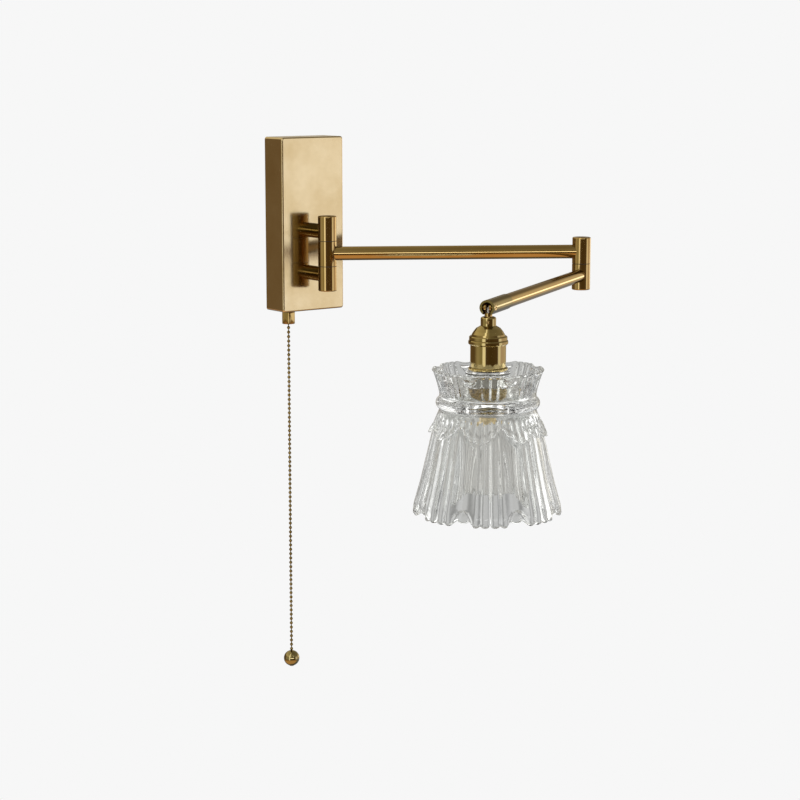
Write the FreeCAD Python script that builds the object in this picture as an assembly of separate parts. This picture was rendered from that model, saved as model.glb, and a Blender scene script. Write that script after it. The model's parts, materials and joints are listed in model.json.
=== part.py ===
import FreeCAD, Part
import math
import os

os.makedirs("parts", exist_ok=True)

# Swing-arm wall lamp with a pressed glass shade and a pull chain.
# Millimetres. X runs to the right, +Y into the wall, +Z up.
# The origin is the centre of the two wall screws, on the wall.

# Backplate cover
plate_width = 72.0
plate_height = 170.0
plate_depth = 30.0
plate_sheet = 1.2
plate_corner = 2.6
plate_edge = 1.6

# Wall bracket
bracket_width = 44.0
bracket_sheet = 1.5
bracket_tab_width = 18.0
bracket_tab_depth = 17.0
bracket_gap = 0.3
wall_screw_spacing = 100.0
wall_slot_width = 4.5
wall_slot_length = 12.0
cable_hole_radius = 9.0
cable_hole_height = 27.0

# Cover screws, countersunk in the top and bottom walls of the cover
cover_screw_radius = 1.9
cover_screw_head_radius = 3.4
cover_screw_head_height = 1.1
cover_screw_length = 7.0
cover_screw_depth = 9.0
cover_screw_slot = 0.7

# Stand-off stubs between the cover and the wall post
stub_radius = 7.1
stub_inset = 3.6
stub_thread_radius = 5.0
stub_thread_length = 10.5
stub_nut_flats = 14.0
stub_nut_height = 4.0
stub_washer_radius = 8.6
stub_washer_sheet = 1.0

# Wall post: three stacked knuckles on one hollow pin
post_radius = 9.0
post_stand_off = 24.0
post_height_place = -27.0
knuckle_height = 24.0
knuckle_round = 1.1
pin_radius = 5.0
pin_bore = 3.4
washer_sheet = 0.5
washer_outer = 8.4
cap_radius = 6.4
cap_sheet = 2.2
cap_crown = 0.5

# Arms
arm_1_reach = 250.0
arm_1_tube_radius = 6.75
arm_2_reach = 280.0
arm_2_tube_radius = 6.25
tube_wall = 1.1
spigot_length = 9.0
arm_1_turn = 32.0
arm_2_turn = 148.26

# Elbow: two stacked knuckles
elbow_knuckle_height = 25.6
elbow_upper_offset = 1.4
clip_sheet = 1.2
clip_radius = 6.6

# Wiring, and the slots in the pins that let it swing
lead_radius = 1.3
lead_gap = 0.3
lead_bend = 7.0
plate_side_turn = 90.0
front_side_turn = -90.0
wall_window_half_turn = 100.0
elbow_window_half_turn = 150.0

# Tilt joint at the end of the outer arm
sleeve_radius = 6.8
sleeve_length = 46.0
sleeve_nose = 4.0
sleeve_bore = 4.9
sleeve_bore_depth = 9.0
sleeve_slot_depth = 7.0
tongue_width = 6.4
tongue_gap_width = 3.2
tongue_eye_radius = 3.4
tongue_end = 16.8
hinge_screw_radius = 1.5
hinge_head_radius = 2.4
hinge_head_sheet = 0.8

# Lamp holder, heights measured down from the tilt pivot
neck_top = 8.0
neck_radius = 6.7
neck_round = 1.4
neck_foot = 15.6
grub_drop = 12.2
grub_radius = 1.5
grub_turn = 14.0
dome_radii = (10.5, 12.6, 14.2)
dome_drops = (17.7, 20.3, 22.9)
shoulder_top = 24.4
shoulder_radius = 16.5
ring_top = 27.7
ring_radius = 17.25
shell_top = 32.0
shell_radius = 15.45
flange_top = 51.4
flange_radius = 17.2
flange_foot = 54.1
holder_sheet = 1.0
holder_round = 0.8
cap_skirt_end = 37.0

# Socket inside the holder
core_top = 38.4
core_radius = 13.6
core_lip_height = 4.0
core_step = 84.0
core_nose_radius = 11.0
core_end = 91.5
screw_shell_radius = 7.6
screw_shell_bore = 7.0
screw_shell_end = 104.0
screw_shell_top = 72.0
contact_radius = 3.0
contact_sheet = 0.8
terminal_radius = 1.8
terminal_height = 5.0
terminal_circle = 7.6

# Shade ring and gaskets that clamp the glass
gasket_sheet = 0.6
shade_ring_radius = 16.2
shade_ring_taper_radius = 14.9
shade_ring_height = 12.4
shade_ring_taper = 5.5

# Glass shade, heights measured down from the tilt pivot
glass_hole_radius = 14.5
glass_boss_height = 13.8
glass_boss_radius = 19.5
collar_top = 52.2
collar_radius = 48.5
collar_mid = 63.0
collar_mid_radius = 45.2
collar_foot = 75.2
collar_foot_radius = 41.9
collar_dip = 1.6
collar_flute = 2.4
bead_drop = 82.2
bead_circle = 39.8
bead_radius = 5.3
bead_angles = (75.0, 28.0, -28.0, -75.0)
frill_top_radius = 42.3
frill_top = 89.0
frill_tip = 110.6
frill_tip_radius = 51.3
frill_lobe = 14.0
frill_stand = 2.7
skirt_mid = 151.0
skirt_mid_radius = 58.2
skirt_low = 171.5
skirt_low_radius = 63.9
hem_drop = 179.7
hem_radius = 64.9
hem_arch = 4.4
skirt_flute = 4.2
rib_groove = 1.8
glass_wall = 4.4
dome_shoulder_radius = 35.5
dome_shoulder = 85.0
well_radius = 17.5
well_wall = 3.8
well_foot = 75.2
floor_drop = 79.4
floor_radius = 33.5
module_count = 8
shade_turn = 17.49

# One module of the pleats: places round it, and how deep each place lies
place_shares = (0.0, 0.13, 0.24, 0.33, 0.415, 0.5, 0.585, 0.67, 0.76, 0.87)
flute_shares = (1.0, 0.68, 0.0, 0.0, 0.0, 0.0, 0.0, 0.0, 0.0, 0.68)
groove_shares = (0.0, 0.0, 0.0, 1.0, 0.0, 1.0, 0.0, 1.0, 0.0, 0.0)
arch_shares = (0.55, 0.88, 0.05, 0.5, 0.0, 0.5, 0.0, 0.5, 0.05, 0.88)
lobe_centre_share = 0.26

# Pull switch, chain and ball
switch_side = -20.2
switch_out = 15.0
switch_width = 18.0
switch_depth = 15.0
switch_height = 26.0
switch_thread_radius = 4.6
switch_bore = 2.5
bushing_flats = 12.2
bushing_drop = 13.2
bushing_round = 0.5
bushing_mouth = 3.6
switch_nut_flats = 13.0
switch_nut_height = 2.6
pull_rod_radius = 1.9
pull_rod_top = 74.0
pull_rod_end = 91.0
pull_travel = 8.0
chain_bead_radius = 1.6
chain_wire_radius = 0.55
chain_pitch = 4.45
ball_radius = 7.9
ball_top_flat = 1.5
ball_foot_radius = 2.8
ball_foot = 0.9
ball_centre_drop = 441.0

# Terminal block and earth screw
block_width = 26.0
block_height = 17.0
block_depth = 13.0
block_place = 69.0
block_screw_radius = 2.0
block_screw_pitch = 8.0
block_screw_depth = 6.0
block_bore = 1.7
earth_screw_radius = 2.0
earth_screw_head = 3.6
earth_screw_side = 15.0
earth_screw_height = -16.0

# Clearances
running_gap = 0.05
seat_gap = 0.05
hole_gap = 0.2
overrun = 1.0

# Derived places
half_turn = 180.0
full_turn = 360.0
hex_sides = 6
cover_top = plate_height / 2
cover_face = -plate_depth
post_y = cover_face - post_stand_off
arm_z = post_height_place
knuckle_step = knuckle_height + washer_sheet + 2 * seat_gap
stub_spacing = 2 * (knuckle_step - stub_inset)
arm_1_bore = arm_1_tube_radius - tube_wall
arm_2_bore = arm_2_tube_radius - tube_wall
lead_bore = lead_radius + lead_gap
elbow_gap = washer_sheet + 2 * seat_gap
elbow_drop = elbow_knuckle_height + elbow_gap - 2 * elbow_upper_offset
elbow_upper_low = elbow_upper_offset - elbow_knuckle_height / 2
tongue_ear = (tongue_width - tongue_gap_width) / 2
glass_seat = flange_foot + gasket_sheet
glass_under = glass_seat + glass_boss_height
shade_ring_top = glass_under + gasket_sheet
up = FreeCAD.Vector(0, 0, 1)
right = FreeCAD.Vector(1, 0, 0)


def point(x, y, z):
    return FreeCAD.Vector(x, y, z)


def turned_frame(base, degrees):
    """A frame whose own X points degrees clockwise from the row's X, seen from above."""
    return FreeCAD.Placement(base, FreeCAD.Rotation(up, -degrees))


wall_frame = FreeCAD.Placement()
arm_1_frame = turned_frame(point(0, post_y, arm_z), arm_1_turn)
elbow_place = arm_1_frame.multVec(point(arm_1_reach, 0, -elbow_drop))
arm_2_frame = turned_frame(elbow_place, arm_2_turn)
pivot_place = arm_2_frame.multVec(point(arm_2_reach, 0, 0))
lamp_frame = turned_frame(pivot_place, arm_2_turn)


def block(low, high):
    """A box between two opposite corners."""
    size = high.sub(low)
    return Part.makeBox(size.x, size.y, size.z, low)


def rod(radius, start, end):
    """A round bar from one point to another."""
    run = end.sub(start)
    return Part.makeCylinder(radius, run.Length, start, run)


def pipe(outer, inner, start, end):
    """A round bar with a through bore."""
    run = end.sub(start)
    run.normalize()
    reach = run.multiply(overrun)
    return rod(outer, start, end).cut(rod(inner, start.sub(reach), end.add(reach)))


def turned(outline):
    """A solid turned about Z from (radius, height) points."""
    corners = [point(radius, 0, height) for radius, height in outline]
    face = Part.Face(Part.makePolygon(corners + corners[:1]))
    return face.revolve(point(0, 0, 0), up, full_turn)


def hex_bar(flats, start, end):
    """A six-sided bar between two points on one axis."""
    run = end.sub(start)
    corner = flats / math.sqrt(3)
    turn = FreeCAD.Rotation(up, run)
    steps = [math.radians(full_turn * count / hex_sides) for count in range(hex_sides)]
    flat = [point(corner * math.cos(step), corner * math.sin(step), 0) for step in steps]
    corners = [turn.multVec(spot).add(start) for spot in flat]
    return Part.Face(Part.makePolygon(corners + corners[:1])).extrude(run)


def slot_cutter(width, length, centre, depth):
    """A round-ended slot that runs along Z and is cut through a sheet along Y."""
    half = (length - width) / 2
    low = centre.sub(point(0, 0, half))
    high = centre.add(point(0, 0, half))
    ends = [rod(width / 2, spot, spot.add(point(0, depth, 0))) for spot in (low, high)]
    middle = block(low.sub(point(width / 2, 0, 0)), high.add(point(width / 2, depth, 0)))
    return ends[0].fuse(ends[1]).fuse(middle)


def rounded_path(route, radius):
    """Straight runs joined by tangent arcs."""
    edges = []
    here = route[0]
    for before, corner, after in zip(route, route[1:], route[2:]):
        first = before.sub(corner)
        second = after.sub(corner)
        half_angle = first.getAngle(second) / 2
        first.normalize()
        second.normalize()
        reach = radius / math.tan(half_angle)
        start = corner.add(first * reach)
        end = corner.add(second * reach)
        middle = first + second
        middle.normalize()
        centre = corner.add(middle * (radius / math.sin(half_angle)))
        edges.append(Part.LineSegment(here, start).toShape())
        edges.append(Part.Arc(start, centre.sub(middle * radius), end).toShape())
        here = end
    edges.append(Part.LineSegment(here, route[-1]).toShape())
    return Part.Wire(edges)


def bent_lead(route, radius):
    """A cable along straight runs and bends."""
    ring = Part.Wire(Part.makeCircle(lead_radius, route[0], route[1].sub(route[0])))
    return rounded_path(route, radius).makePipeShell([ring], True, False)


def save(name, shape, frame=wall_frame):
    """Write one sub-part, placed in the row's frame."""
    placed = shape.copy()
    placed.transformShape(frame.toMatrix(), True)
    placed.exportStep("parts/" + name + ".step")


def save_group(name, shapes, frame=wall_frame):
    """Write several equal solids as one sub-part."""
    save(name, Part.makeCompound(shapes), frame)


# Wall bracket: a strap with two bent tabs that carry the cover
tab_face = cover_top - plate_sheet - bracket_gap


def make_bracket():
    half = bracket_width / 2
    strap = block(point(-half, -bracket_sheet, -tab_face), point(half, 0, tab_face))
    for side in (1, -1):
        edge = side * tab_face
        inner = edge - side * bracket_sheet
        low = point(-bracket_tab_width / 2, -bracket_tab_depth, min(edge, inner))
        high = point(bracket_tab_width / 2, 0, max(edge, inner))
        strap = strap.fuse(block(low, high))
        slot_place = point(0, -bracket_sheet - overrun, side * wall_screw_spacing / 2)
        through = bracket_sheet + 2 * overrun
        strap = strap.cut(slot_cutter(wall_slot_width, wall_slot_length, slot_place, through))
        screw_place = point(0, -cover_screw_depth, side * (tab_face + overrun))
        screw_end = point(0, -cover_screw_depth, side * (tab_face - bracket_sheet - overrun))
        strap = strap.cut(rod(cover_screw_radius + seat_gap, screw_place, screw_end))
    for x, z, radius in ((0, cable_hole_height, cable_hole_radius),
                         (earth_screw_side, earth_screw_height, earth_screw_radius + seat_gap),
                         (0, block_place, block_screw_radius + seat_gap)):
        hole = rod(radius, point(x, -bracket_sheet - overrun, z), point(x, overrun, z))
        strap = strap.cut(hole)
    return strap.removeSplitter()


def stub_heights():
    return [arm_z + side * stub_spacing / 2 for side in (1, -1)]


# Cover: a box open to the wall, with holes for the stubs, screws and pull switch
def make_cover():
    half = plate_width / 2
    outer = block(point(-half, cover_face, -cover_top), point(half, 0, cover_top))
    depth_edges = [edge for edge in outer.Edges if abs(edge.tangentAt(edge.FirstParameter).y) > 0.9]
    outer = outer.makeFillet(plate_corner, depth_edges)
    front = [edge for edge in outer.Edges if edge.BoundBox.YMax < cover_face + plate_sheet / 2]
    outer = outer.makeFillet(plate_edge, front)
    wall = plate_sheet
    inner = block(point(wall - half, cover_face + wall, wall - cover_top),
                  point(half - wall, overrun, cover_top - wall))
    depth_edges = [edge for edge in inner.Edges if abs(edge.tangentAt(edge.FirstParameter).y) > 0.9]
    inner = inner.makeFillet(plate_corner - plate_sheet, depth_edges)
    cover = outer.cut(inner)
    for height in stub_heights():
        start = point(0, cover_face - overrun, height)
        end = point(0, cover_face + plate_sheet + overrun, height)
        cover = cover.cut(rod(stub_thread_radius + hole_gap, start, end))
    neck_top_place = point(switch_side, -switch_out, -cover_top + plate_sheet + overrun)
    neck_low_place = point(switch_side, -switch_out, -cover_top - overrun)
    cover = cover.cut(rod(switch_thread_radius + hole_gap, neck_top_place, neck_low_place))
    for side in (1, -1):
        cover = cover.cut(place_cover_screw(cover_screw_form(hole_gap), side))
    return cover


def cover_screw_form(gap):
    """A countersunk screw with its head at the origin, or the hole it needs."""
    head = cover_screw_head_radius + gap
    shank = cover_screw_radius + gap
    outline = [(0, 0), (head, 0), (shank, -cover_screw_head_height)]
    return turned(outline + [(shank, -cover_screw_length), (0, -cover_screw_length)])


def place_cover_screw(form, side):
    """Put a screw or its hole into the top or the bottom wall."""
    if side < 0:
        form.rotate(point(0, 0, 0), right, half_turn)
    form.translate(point(0, -cover_screw_depth, side * cover_top))
    return form


def make_cover_screw(side):
    half = cover_screw_slot / 2
    reach = 2 * cover_screw_head_radius
    slot = block(point(-reach, -half, -cover_screw_head_height / 2), point(reach, half, overrun))
    return place_cover_screw(cover_screw_form(0).cut(slot), side)


# Stubs, nuts and washers between the cover and the post
def make_stub(height):
    inner_end = cover_face + plate_sheet + stub_thread_length
    thread = rod(stub_thread_radius, point(0, cover_face - overrun, height), point(0, inner_end, height))
    body = rod(stub_radius, point(0, cover_face, height), point(0, post_y, height))
    stub = body.fuse(thread)
    bore = rod(lead_bore, point(0, post_y, height), point(0, inner_end + overrun, height))
    span = point(0, 0, 2 * knuckle_height)
    post = point(0, post_y, height)
    return stub.cut(bore).cut(rod(post_radius + seat_gap, post.sub(span), post.add(span)))


def make_stub_washer(height):
    start = cover_face + plate_sheet
    return pipe(stub_washer_radius, stub_thread_radius + seat_gap,
                point(0, start, height), point(0, start + stub_washer_sheet, height))


def make_stub_nut(height):
    start = cover_face + plate_sheet + stub_washer_sheet
    end = start + stub_nut_height
    nut = hex_bar(stub_nut_flats, point(0, start, height), point(0, end, height))
    bore = rod(stub_thread_radius + seat_gap, point(0, start - overrun, height),
               point(0, end + overrun, height))
    return nut.cut(bore)


# Knuckles: short round barrels that share a pin
def make_knuckle(radius, low, height, bore, round_top, round_low):
    barrel = Part.makeCylinder(radius, height, point(0, 0, low))
    rims = []
    for edge in barrel.Edges:
        flat = edge.BoundBox.ZLength < running_gap
        if flat and round_top and edge.BoundBox.ZMin > low + height / 2:
            rims.append(edge)
        if flat and round_low and edge.BoundBox.ZMax < low + height / 2:
            rims.append(edge)
    if rims:
        barrel = barrel.makeFillet(knuckle_round, rims)
    return barrel.cut(rod(bore, point(0, 0, low - overrun), point(0, 0, low + height + overrun)))


def cap_seat(level, side):
    """The counterbore that takes an end cap."""
    return rod(cap_radius + seat_gap, point(0, 0, level - side * cap_sheet),
               point(0, 0, level + side * overrun))


def make_cap(level, side):
    """An end cap with a low crown, pressed into a knuckle."""
    outline = [(0, -cap_sheet), (cap_radius, -cap_sheet), (cap_radius, 0)]
    outline += [(cap_radius / 2, cap_crown * 3 / 4), (0, cap_crown)]
    cap = turned(outline)
    if side < 0:
        cap.rotate(point(0, 0, 0), right, half_turn)
    cap.translate(point(0, 0, level))
    return cap


def make_washer(low):
    return pipe(washer_outer, pin_radius + running_gap, point(0, 0, low), point(0, 0, low + washer_sheet))


def make_pin(low, high):
    return pipe(pin_radius, pin_bore, point(0, 0, low), point(0, 0, high))


def wire_window(angle, level, reach):
    """The opening that lets the lead into a pin or a knuckle wall."""
    spin = math.radians(angle)
    end = point(reach * math.cos(spin), reach * math.sin(spin), level)
    return rod(lead_bore, point(0, 0, level), end)


def swept_window(middle, half, level):
    """The slot in a pin that lets the lead swing half an angle to either side."""
    body = pipe(2 * post_radius, pin_bore / 2, point(0, 0, level - lead_bore), point(0, 0, level + lead_bore))
    blind = full_turn - 2 * half
    spread = math.radians(blind / 2)
    reach = 4 * post_radius
    side = reach * math.sin(spread)
    back = -reach * math.cos(spread)
    corners = [point(0, 0, level - 2 * lead_bore), point(back, side, level - 2 * lead_bore),
               point(back, -side, level - 2 * lead_bore)]
    wedge = Part.Face(Part.makePolygon(corners + corners[:1])).extrude(point(0, 0, 4 * lead_bore))
    body = body.cut(wedge)
    body.rotate(point(0, 0, 0), up, middle)
    return body


post_low = -knuckle_height / 2 - knuckle_step
post_high = knuckle_height / 2 + knuckle_step
post_frame = FreeCAD.Placement(point(0, post_y, arm_z), FreeCAD.Rotation())


def make_post():
    press = pin_radius + seat_gap
    top = make_knuckle(post_radius, post_high - knuckle_height, knuckle_height, press, True, False)
    top = top.cut(cap_seat(post_high, 1))
    low = make_knuckle(post_radius, post_low, knuckle_height, press, False, True)
    low = low.cut(cap_seat(post_low, -1))
    low = low.cut(wire_window(plate_side_turn, -stub_spacing / 2, 2 * post_radius))
    save("post_knuckle_top", top, post_frame)
    save("post_knuckle_bottom", low, post_frame)
    save_group("post_caps", [make_cap(post_high, 1), make_cap(post_low, -1)], post_frame)
    pin = make_pin(post_low + cap_sheet, post_high - cap_sheet)
    pin = pin.cut(wire_window(plate_side_turn, -stub_spacing / 2, 2 * post_radius))
    pin = pin.cut(swept_window(front_side_turn, wall_window_half_turn, 0))
    save("post_pin", pin, post_frame)
    gap = knuckle_height / 2 + seat_gap
    save_group("post_washers", [make_washer(gap), make_washer(-gap - washer_sheet)], post_frame)


def arm_spigot(bore, wall_side, side):
    """The stud on a knuckle that carries an arm tube."""
    start = point(side * post_radius / 2, 0, 0)
    end = point(side * (wall_side + spigot_length), 0, 0)
    return rod(bore - seat_gap, start, end)


def lead_hole(side):
    return rod(lead_bore, point(0, 0, 0), point(side * (post_radius + 2 * spigot_length), 0, 0))


def saddle(radius, x):
    span = 2 * elbow_knuckle_height
    return rod(radius + seat_gap, point(x, 0, -span), point(x, 0, span))


def pin_bore_cutter(radius, x, half):
    return rod(radius, point(x, 0, -half), point(x, 0, half))


# Inner arm: the middle knuckle of the post, the tube and the elbow's upper knuckle
def make_arm_1():
    run_bore = pin_radius + running_gap
    barrel = make_knuckle(post_radius, -knuckle_height / 2, knuckle_height, run_bore, False, False)
    barrel = barrel.fuse(arm_spigot(arm_1_bore, post_radius, 1))
    barrel = barrel.cut(pin_bore_cutter(run_bore, 0, knuckle_height)).cut(lead_hole(1))
    save("post_knuckle_middle", barrel, arm_1_frame)
    tube = pipe(arm_1_tube_radius, arm_1_bore, point(0, 0, 0), point(arm_1_reach, 0, 0))
    tube = tube.cut(saddle(post_radius, 0)).cut(saddle(post_radius, arm_1_reach))
    save("arm_1_tube", tube, arm_1_frame)
    press = pin_radius + seat_gap
    upper = make_knuckle(post_radius, elbow_upper_low, elbow_knuckle_height, press, True, False)
    upper = upper.fuse(arm_spigot(arm_1_bore, post_radius, -1))
    upper = upper.cut(pin_bore_cutter(press, 0, elbow_knuckle_height)).cut(lead_hole(-1))
    upper_top = elbow_upper_low + elbow_knuckle_height
    upper = upper.cut(cap_seat(upper_top, 1))
    elbow_frame = arm_1_frame.multiply(FreeCAD.Placement(point(arm_1_reach, 0, 0), FreeCAD.Rotation()))
    save("elbow_knuckle_upper", upper, elbow_frame)
    save("elbow_cap_top", make_cap(upper_top, 1), elbow_frame)
    save("elbow_washer", make_washer(elbow_upper_low - seat_gap - washer_sheet), elbow_frame)
    pin_low = elbow_low_end() + cap_sheet + clip_sheet
    pin = make_pin(pin_low - clip_sheet, upper_top - cap_sheet)
    pin = pin.cut(wire_window(half_turn, 0, 2 * post_radius))
    pin = pin.cut(swept_window(0, elbow_window_half_turn, -elbow_drop))
    save("elbow_pin", pin, elbow_frame)
    clip = pipe(clip_radius, pin_radius + seat_gap, point(0, 0, pin_low - clip_sheet), point(0, 0, pin_low))
    save("elbow_clip", clip, elbow_frame)
    lead_start = point(post_radius - seat_gap, 0, 0)
    lead_end = point(arm_1_reach - post_radius + seat_gap, 0, 0)
    save("arm_1_lead", rod(lead_radius, lead_start, lead_end), arm_1_frame)


def elbow_low_end():
    """Height of the elbow's lower end over the inner arm's axis."""
    return elbow_upper_low - elbow_gap - elbow_knuckle_height


# Outer arm: the elbow's lower knuckle, the tube and the tilt joint's sleeve
def make_arm_2():
    run_bore = pin_radius + running_gap
    low = elbow_low_end() + elbow_drop
    lower = make_knuckle(post_radius, low, elbow_knuckle_height, run_bore, False, True)
    lower = lower.fuse(arm_spigot(arm_2_bore, post_radius, 1))
    lower = lower.cut(pin_bore_cutter(run_bore, 0, elbow_knuckle_height)).cut(lead_hole(1))
    pocket_top = low + cap_sheet + clip_sheet + 2 * seat_gap
    clip_pocket = rod(clip_radius + hole_gap, point(0, 0, low - overrun), point(0, 0, pocket_top))
    lower = lower.cut(clip_pocket)
    save("elbow_knuckle_lower", lower, arm_2_frame)
    cap = turned([(0, 0), (clip_radius + hole_gap - seat_gap, 0),
                  (clip_radius + hole_gap - seat_gap, cap_sheet - 2 * seat_gap),
                  (0, cap_sheet - 2 * seat_gap)])
    cap.translate(point(0, 0, low))
    save("elbow_cap_bottom", cap, arm_2_frame)
    tube_end = arm_2_reach - sleeve_length
    tube = pipe(arm_2_tube_radius, arm_2_bore, point(0, 0, 0), point(tube_end, 0, 0))
    save("arm_2_tube", tube.cut(saddle(post_radius, 0)), arm_2_frame)
    save("tilt_sleeve", make_sleeve(), lamp_frame)
    save_group("tilt_screws", [make_hinge_screw(side) for side in (1, -1)], lamp_frame)
    lead_end = point(arm_2_reach - sleeve_bore_depth + lead_bend / 2, 0, 0)
    save("arm_2_lead", rod(lead_radius, point(post_radius - seat_gap, 0, 0), lead_end), arm_2_frame)


def make_sleeve():
    """The hollow end of the outer arm, open in front and slotted underneath."""
    back = point(-sleeve_length, 0, 0)
    nose = point(sleeve_nose, 0, 0)
    body = rod(sleeve_radius, back, nose)
    rear = [edge for edge in body.Edges if edge.BoundBox.XMax < running_gap - sleeve_length]
    body = body.makeFillet(knuckle_round / 2, rear)
    body = body.fuse(rod(arm_2_bore - seat_gap, back.sub(point(spigot_length, 0, 0)), point(0, 0, 0)))
    body = body.cut(rod(sleeve_bore, point(-sleeve_bore_depth, 0, 0), nose.add(point(overrun, 0, 0))))
    body = body.cut(rod(lead_bore, back.sub(point(2 * spigot_length, 0, 0)), point(0, 0, 0)))
    half = tongue_width / 2 + hole_gap
    slot = block(point(-sleeve_slot_depth, -half, -2 * sleeve_radius), point(2 * sleeve_nose, half, 0))
    body = body.cut(slot)
    for side in (1, -1):
        hole = rod(hinge_screw_radius + running_gap, point(0, 0, 0), point(0, side * 2 * sleeve_radius, 0))
        body = body.cut(hole)
        body = body.cut(rod(hinge_head_radius + seat_gap, point(0, side * hinge_seat(), 0),
                            point(0, side * 2 * sleeve_radius, 0)))
    return body


def hinge_seat():
    """Where the hinge screw's head seats, out from the arm's axis."""
    chord = math.sqrt(sleeve_radius ** 2 - hinge_head_radius ** 2)
    return chord - hinge_head_sheet / 2


def make_hinge_screw(side):
    start = tongue_gap_width / 2
    seat = hinge_seat()
    shank = rod(hinge_screw_radius, point(0, side * start, 0), point(0, side * seat, 0))
    head_end = seat + hinge_head_sheet
    head = rod(hinge_head_radius, point(0, side * seat, 0), point(0, side * head_end, 0))
    half = cover_screw_slot / 2
    middle = side * (head_end - hinge_head_sheet / 4)
    reach = hinge_head_sheet / 4 + seat_gap
    slot = block(point(-2 * hinge_head_radius, middle - reach, -half),
                 point(2 * hinge_head_radius, middle + reach, half))
    return shank.fuse(head).cut(slot)


# Tongue: two ears on a hollow shank that drops into the holder's neck
def make_tongue():
    half = tongue_width / 2
    eye = rod(tongue_eye_radius, point(0, -half, 0), point(0, half, 0))
    web = block(point(-tongue_eye_radius, -half, -neck_top), point(tongue_eye_radius, half, 0))
    shank = rod(half, point(0, 0, -tongue_end), point(0, 0, -neck_top / 2))
    side_limit = rod(sleeve_bore - hole_gap, point(-2 * neck_top, 0, 0), point(2 * neck_top, 0, 0))
    round_limit = rod(tongue_eye_radius, point(0, 0, -2 * neck_top), point(0, 0, 2 * neck_top))
    web = web.common(round_limit)
    tongue = eye.common(side_limit).fuse(web).fuse(shank)
    gap = tongue_gap_width / 2
    tongue = tongue.cut(block(point(-2 * half, -gap, -tongue_eye_radius - lead_radius),
                              point(2 * half, gap, 2 * half)))
    tongue = tongue.cut(rod(gap, point(0, 0, -tongue_end - overrun), point(0, 0, 0)))
    hole = hinge_screw_radius + running_gap
    return tongue.cut(rod(hole, point(0, -2 * half, 0), point(0, 2 * half, 0))).removeSplitter()


# Lamp holder: cap, ring and shell around the socket
def down_points(outline):
    """Turn (radius, drop) pairs into (radius, height) pairs."""
    return [(radius, -drop) for radius, drop in outline]


def make_holder_cap():
    bore = tongue_width / 2 + seat_gap
    crown = neck_round * (1 - math.sqrt(0.5))
    outer = [(bore, neck_top), (neck_radius - neck_round, neck_top)]
    outer += [(neck_radius - crown, neck_top + crown), (neck_radius, neck_top + neck_round)]
    outer += [(neck_radius, neck_foot)] + list(zip(dome_radii, dome_drops))
    outer += [(dome_radii[-1] + holder_round / 2, shoulder_top)]
    outer += [(shoulder_radius - holder_round, shoulder_top)]
    outer += [(shoulder_radius, shoulder_top + holder_round), (shoulder_radius, ring_top)]
    skirt = shell_radius - holder_sheet - seat_gap
    skirt_bore = skirt - holder_sheet
    outer += [(skirt, ring_top), (skirt, cap_skirt_end), (skirt_bore, cap_skirt_end)]
    inner = [(skirt_bore, ring_top - holder_sheet)]
    inner += [(dome_radii[2] - 2 * holder_sheet, dome_drops[2] + holder_sheet)]
    inner += [(dome_radii[0] - holder_sheet, dome_drops[0] + 2 * holder_sheet)]
    inner += [(neck_radius - holder_sheet, neck_foot + 2 * holder_sheet)]
    inner += [(bore, neck_foot + 2 * holder_sheet)]
    cap = turned(down_points(outer + inner))
    return cap.cut(grub_screw_rod(seat_gap))


def grub_screw_rod(gap):
    spin = math.radians(grub_turn)
    aim = point(math.cos(spin), math.sin(spin), 0)
    centre = point(0, 0, -grub_drop)
    start = tongue_width / 2 + (0 if gap else seat_gap)
    end = neck_radius + (overrun if gap else -hole_gap)
    return rod(grub_radius + gap, centre.add(aim * start), centre.add(aim * end))


def make_holder_ring():
    inner = shell_radius - holder_sheet
    half = (shell_top - ring_top) / 2
    edge = half / 2
    outline = [(inner, ring_top), (ring_radius - edge, ring_top), (ring_radius, ring_top + edge)]
    outline += [(ring_radius, shell_top - edge), (ring_radius - edge, shell_top), (inner, shell_top)]
    return turned(down_points(outline))


def make_holder_shell():
    inner = shell_radius - holder_sheet
    outline = [(inner, shell_top), (shell_radius, shell_top), (shell_radius, flange_top)]
    outline += [(flange_radius - holder_round, flange_top), (flange_radius, flange_top + holder_round)]
    outline += [(flange_radius, flange_foot - holder_round), (flange_radius - holder_round, flange_foot)]
    outline += [(inner, flange_foot)]
    return turned(down_points(outline))


def make_core():
    """The insulating body of the socket, threaded outside for the shade ring."""
    lip = shell_radius - holder_sheet - seat_gap
    bore = screw_shell_radius + seat_gap
    floor = screw_shell_top - 3 * contact_sheet
    outline = [(0, core_top), (lip, core_top), (lip, core_top + core_lip_height)]
    outline += [(core_radius, core_top + core_lip_height), (core_radius, core_step)]
    outline += [(core_nose_radius, core_step), (core_nose_radius, core_end), (bore, core_end)]
    outline += [(bore, floor), (0, floor)]
    core = turned(down_points(outline))
    for spot in terminal_places():
        top = spot.add(point(0, 0, overrun))
        core = core.cut(rod(terminal_radius + seat_gap, spot.sub(point(0, 0, terminal_height)), top))
    return core


def terminal_places():
    return [point(0, side * terminal_circle, -core_top) for side in (1, -1)]


def make_terminals():
    screws = []
    for spot in terminal_places():
        low = spot.sub(point(0, 0, terminal_height))
        screws.append(rod(terminal_radius, low, spot.add(point(0, 0, terminal_radius / 2))))
    return screws


def make_screw_shell():
    outline = [(screw_shell_bore, screw_shell_top), (screw_shell_radius, screw_shell_top)]
    outline += [(screw_shell_radius, screw_shell_end), (screw_shell_bore, screw_shell_end)]
    return turned(down_points(outline))


def make_contact():
    top = screw_shell_top - 3 * contact_sheet
    disc = rod(contact_radius, point(0, 0, -top), point(0, 0, -top - contact_sheet))
    button = rod(contact_radius / 2, point(0, 0, -top), point(0, 0, -top - 3 * contact_sheet))
    return disc.fuse(button)


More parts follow.
